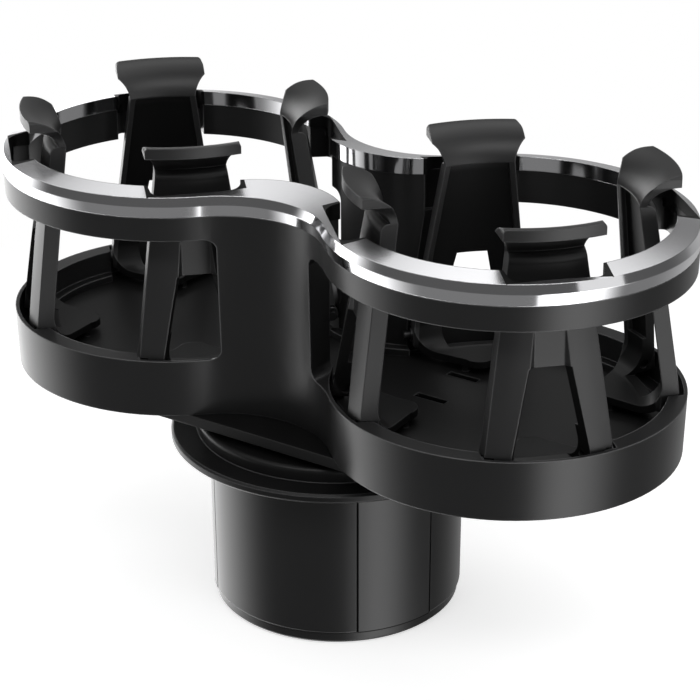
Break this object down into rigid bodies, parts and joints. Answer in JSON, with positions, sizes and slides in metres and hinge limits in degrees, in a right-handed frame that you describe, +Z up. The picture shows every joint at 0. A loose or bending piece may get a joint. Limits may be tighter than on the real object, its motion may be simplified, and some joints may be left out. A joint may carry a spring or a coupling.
{
  "type": "cup holder",
  "caption": "Car cup holder with joined side-by-side wells, sprung gripping claws and bright trim, swivelling on an expanding base that a knob locks in a cup recess.",
  "frame": {"origin": "centre of the underside of the base, on the swivel axis", "axes": "+X along the line of the wells, +Y to the back, +Z up along the swivel axis"},
  "size_m": [0.204, 0.097, 0.1342],
  "materials": {
    "body_black": "satin",
    "bright_trim": "bright",
    "inner_black": "matte",
    "base_black": "satin",
    "claw_black": "fine grain",
    "steel": "zinc plated",
    "spring_steel": "drawn wire"
  },
  "bodies": {
    "base": {"base_core": "base_black", "bottom_cap": "base_black", "cap_screws": "steel", "swivel_bolt": "steel", "swivel_washer": "steel", "swivel_nut": "steel"},
    "knob": {"base_knob": "base_black"},
    "right_wing": {"wing_right": "base_black"},
    "left_wing": {"wing_left": "base_black"},
    "front_wing": {"wing_front": "base_black"},
    "holder": {"holder_shell": "body_black", "trim_ring": "bright_trim", "floor_deck": "inner_black", "bottom_cover": "inner_black", "swivel_hub": "inner_black", "cover_screws": "steel", "hub_screws": "steel", "claw_pins": "steel", "spring_left_outer_back": "spring_steel", "spring_left_inner_back": "spring_steel", "spring_left_inner_front": "spring_steel", "spring_left_outer_front": "spring_steel", "spring_right_outer_back": "spring_steel", "spring_right_inner_back": "spring_steel", "spring_right_inner_front": "spring_steel", "spring_right_outer_front": "spring_steel"},
    "left_outer_back_claw": {"claw_left_outer_back": "claw_black"},
    "left_inner_back_claw": {"claw_left_inner_back": "claw_black"},
    "left_inner_front_claw": {"claw_left_inner_front": "claw_black"},
    "left_outer_front_claw": {"claw_left_outer_front": "claw_black"},
    "right_outer_back_claw": {"claw_right_outer_back": "claw_black"},
    "right_inner_back_claw": {"claw_right_inner_back": "claw_black"},
    "right_inner_front_claw": {"claw_right_inner_front": "claw_black"},
    "right_outer_front_claw": {"claw_right_outer_front": "claw_black"}
  },
  "joints": [
    {"name": "holder_swivel", "type": "hinge", "parent": "base", "child": "holder", "pos_m": [0, 0, 0.0554], "axis": [0, 0, 1], "continuous": true},
    {"name": "knob_turn", "type": "hinge", "parent": "base", "child": "knob", "pos_m": [0, 0, 0.0485], "axis": [0, 0, 1], "range_deg": [0, 90]},
    {"name": "right_wing_slide", "type": "slide", "parent": "base", "child": "right_wing", "axis": [0.8462, 0.5329, 0], "range_m": [0, 0.01]},
    {"name": "left_wing_slide", "type": "slide", "parent": "base", "child": "left_wing", "axis": [-0.8846, 0.4664, 0], "range_m": [0, 0.01]},
    {"name": "front_wing_slide", "type": "slide", "parent": "base", "child": "front_wing", "axis": [0.0384, -0.9993, 0], "range_m": [0, 0.01]},
    {"name": "left_outer_back_claw_hinge", "type": "hinge", "parent": "holder", "child": "left_outer_back_claw", "pos_m": [-0.08222, 0.02872, 0.0738], "axis": [-0.7071, -0.7071, 0], "range_deg": [0, 10], "stiffness_Nm_per_rad": 0.12, "springref_deg": -6.88},
    {"name": "left_inner_back_claw_hinge", "type": "hinge", "parent": "holder", "child": "left_inner_back_claw", "pos_m": [-0.02478, 0.02872, 0.0738], "axis": [-0.7071, 0.7071, 0], "range_deg": [0, 10], "stiffness_Nm_per_rad": 0.12, "springref_deg": -6.88},
    {"name": "left_inner_front_claw_hinge", "type": "hinge", "parent": "holder", "child": "left_inner_front_claw", "pos_m": [-0.02478, -0.02872, 0.0738], "axis": [0.7071, 0.7071, 0], "range_deg": [0, 10], "stiffness_Nm_per_rad": 0.12, "springref_deg": -6.88},
    {"name": "left_outer_front_claw_hinge", "type": "hinge", "parent": "holder", "child": "left_outer_front_claw", "pos_m": [-0.08222, -0.02872, 0.0738], "axis": [0.7071, -0.7071, 0], "range_deg": [0, 10], "stiffness_Nm_per_rad": 0.12, "springref_deg": -6.88},
    {"name": "right_outer_back_claw_hinge", "type": "hinge", "parent": "holder", "child": "right_outer_back_claw", "pos_m": [0.08222, 0.02872, 0.0738], "axis": [-0.7071, 0.7071, 0], "range_deg": [0, 10], "stiffness_Nm_per_rad": 0.12, "springref_deg": -6.88},
    {"name": "right_inner_back_claw_hinge", "type": "hinge", "parent": "holder", "child": "right_inner_back_claw", "pos_m": [0.02478, 0.02872, 0.0738], "axis": [-0.7071, -0.7071, 0], "range_deg": [0, 10], "stiffness_Nm_per_rad": 0.12, "springref_deg": -6.88},
    {"name": "right_inner_front_claw_hinge", "type": "hinge", "parent": "holder", "child": "right_inner_front_claw", "pos_m": [0.02478, -0.02872, 0.0738], "axis": [0.7071, -0.7071, 0], "range_deg": [0, 10], "stiffness_Nm_per_rad": 0.12, "springref_deg": -6.88},
    {"name": "right_outer_front_claw_hinge", "type": "hinge", "parent": "holder", "child": "right_outer_front_claw", "pos_m": [0.08222, -0.02872, 0.0738], "axis": [0.7071, 0.7071, 0], "range_deg": [0, 10], "stiffness_Nm_per_rad": 0.12, "springref_deg": -6.88}
  ],
  "couplings": [
    {"joint": "right_wing_slide", "follows": "knob_turn", "m_per_rad": 0.0063661},
    {"joint": "left_wing_slide", "follows": "knob_turn", "m_per_rad": 0.0063661},
    {"joint": "front_wing_slide", "follows": "knob_turn", "m_per_rad": 0.0063661}
  ]
}
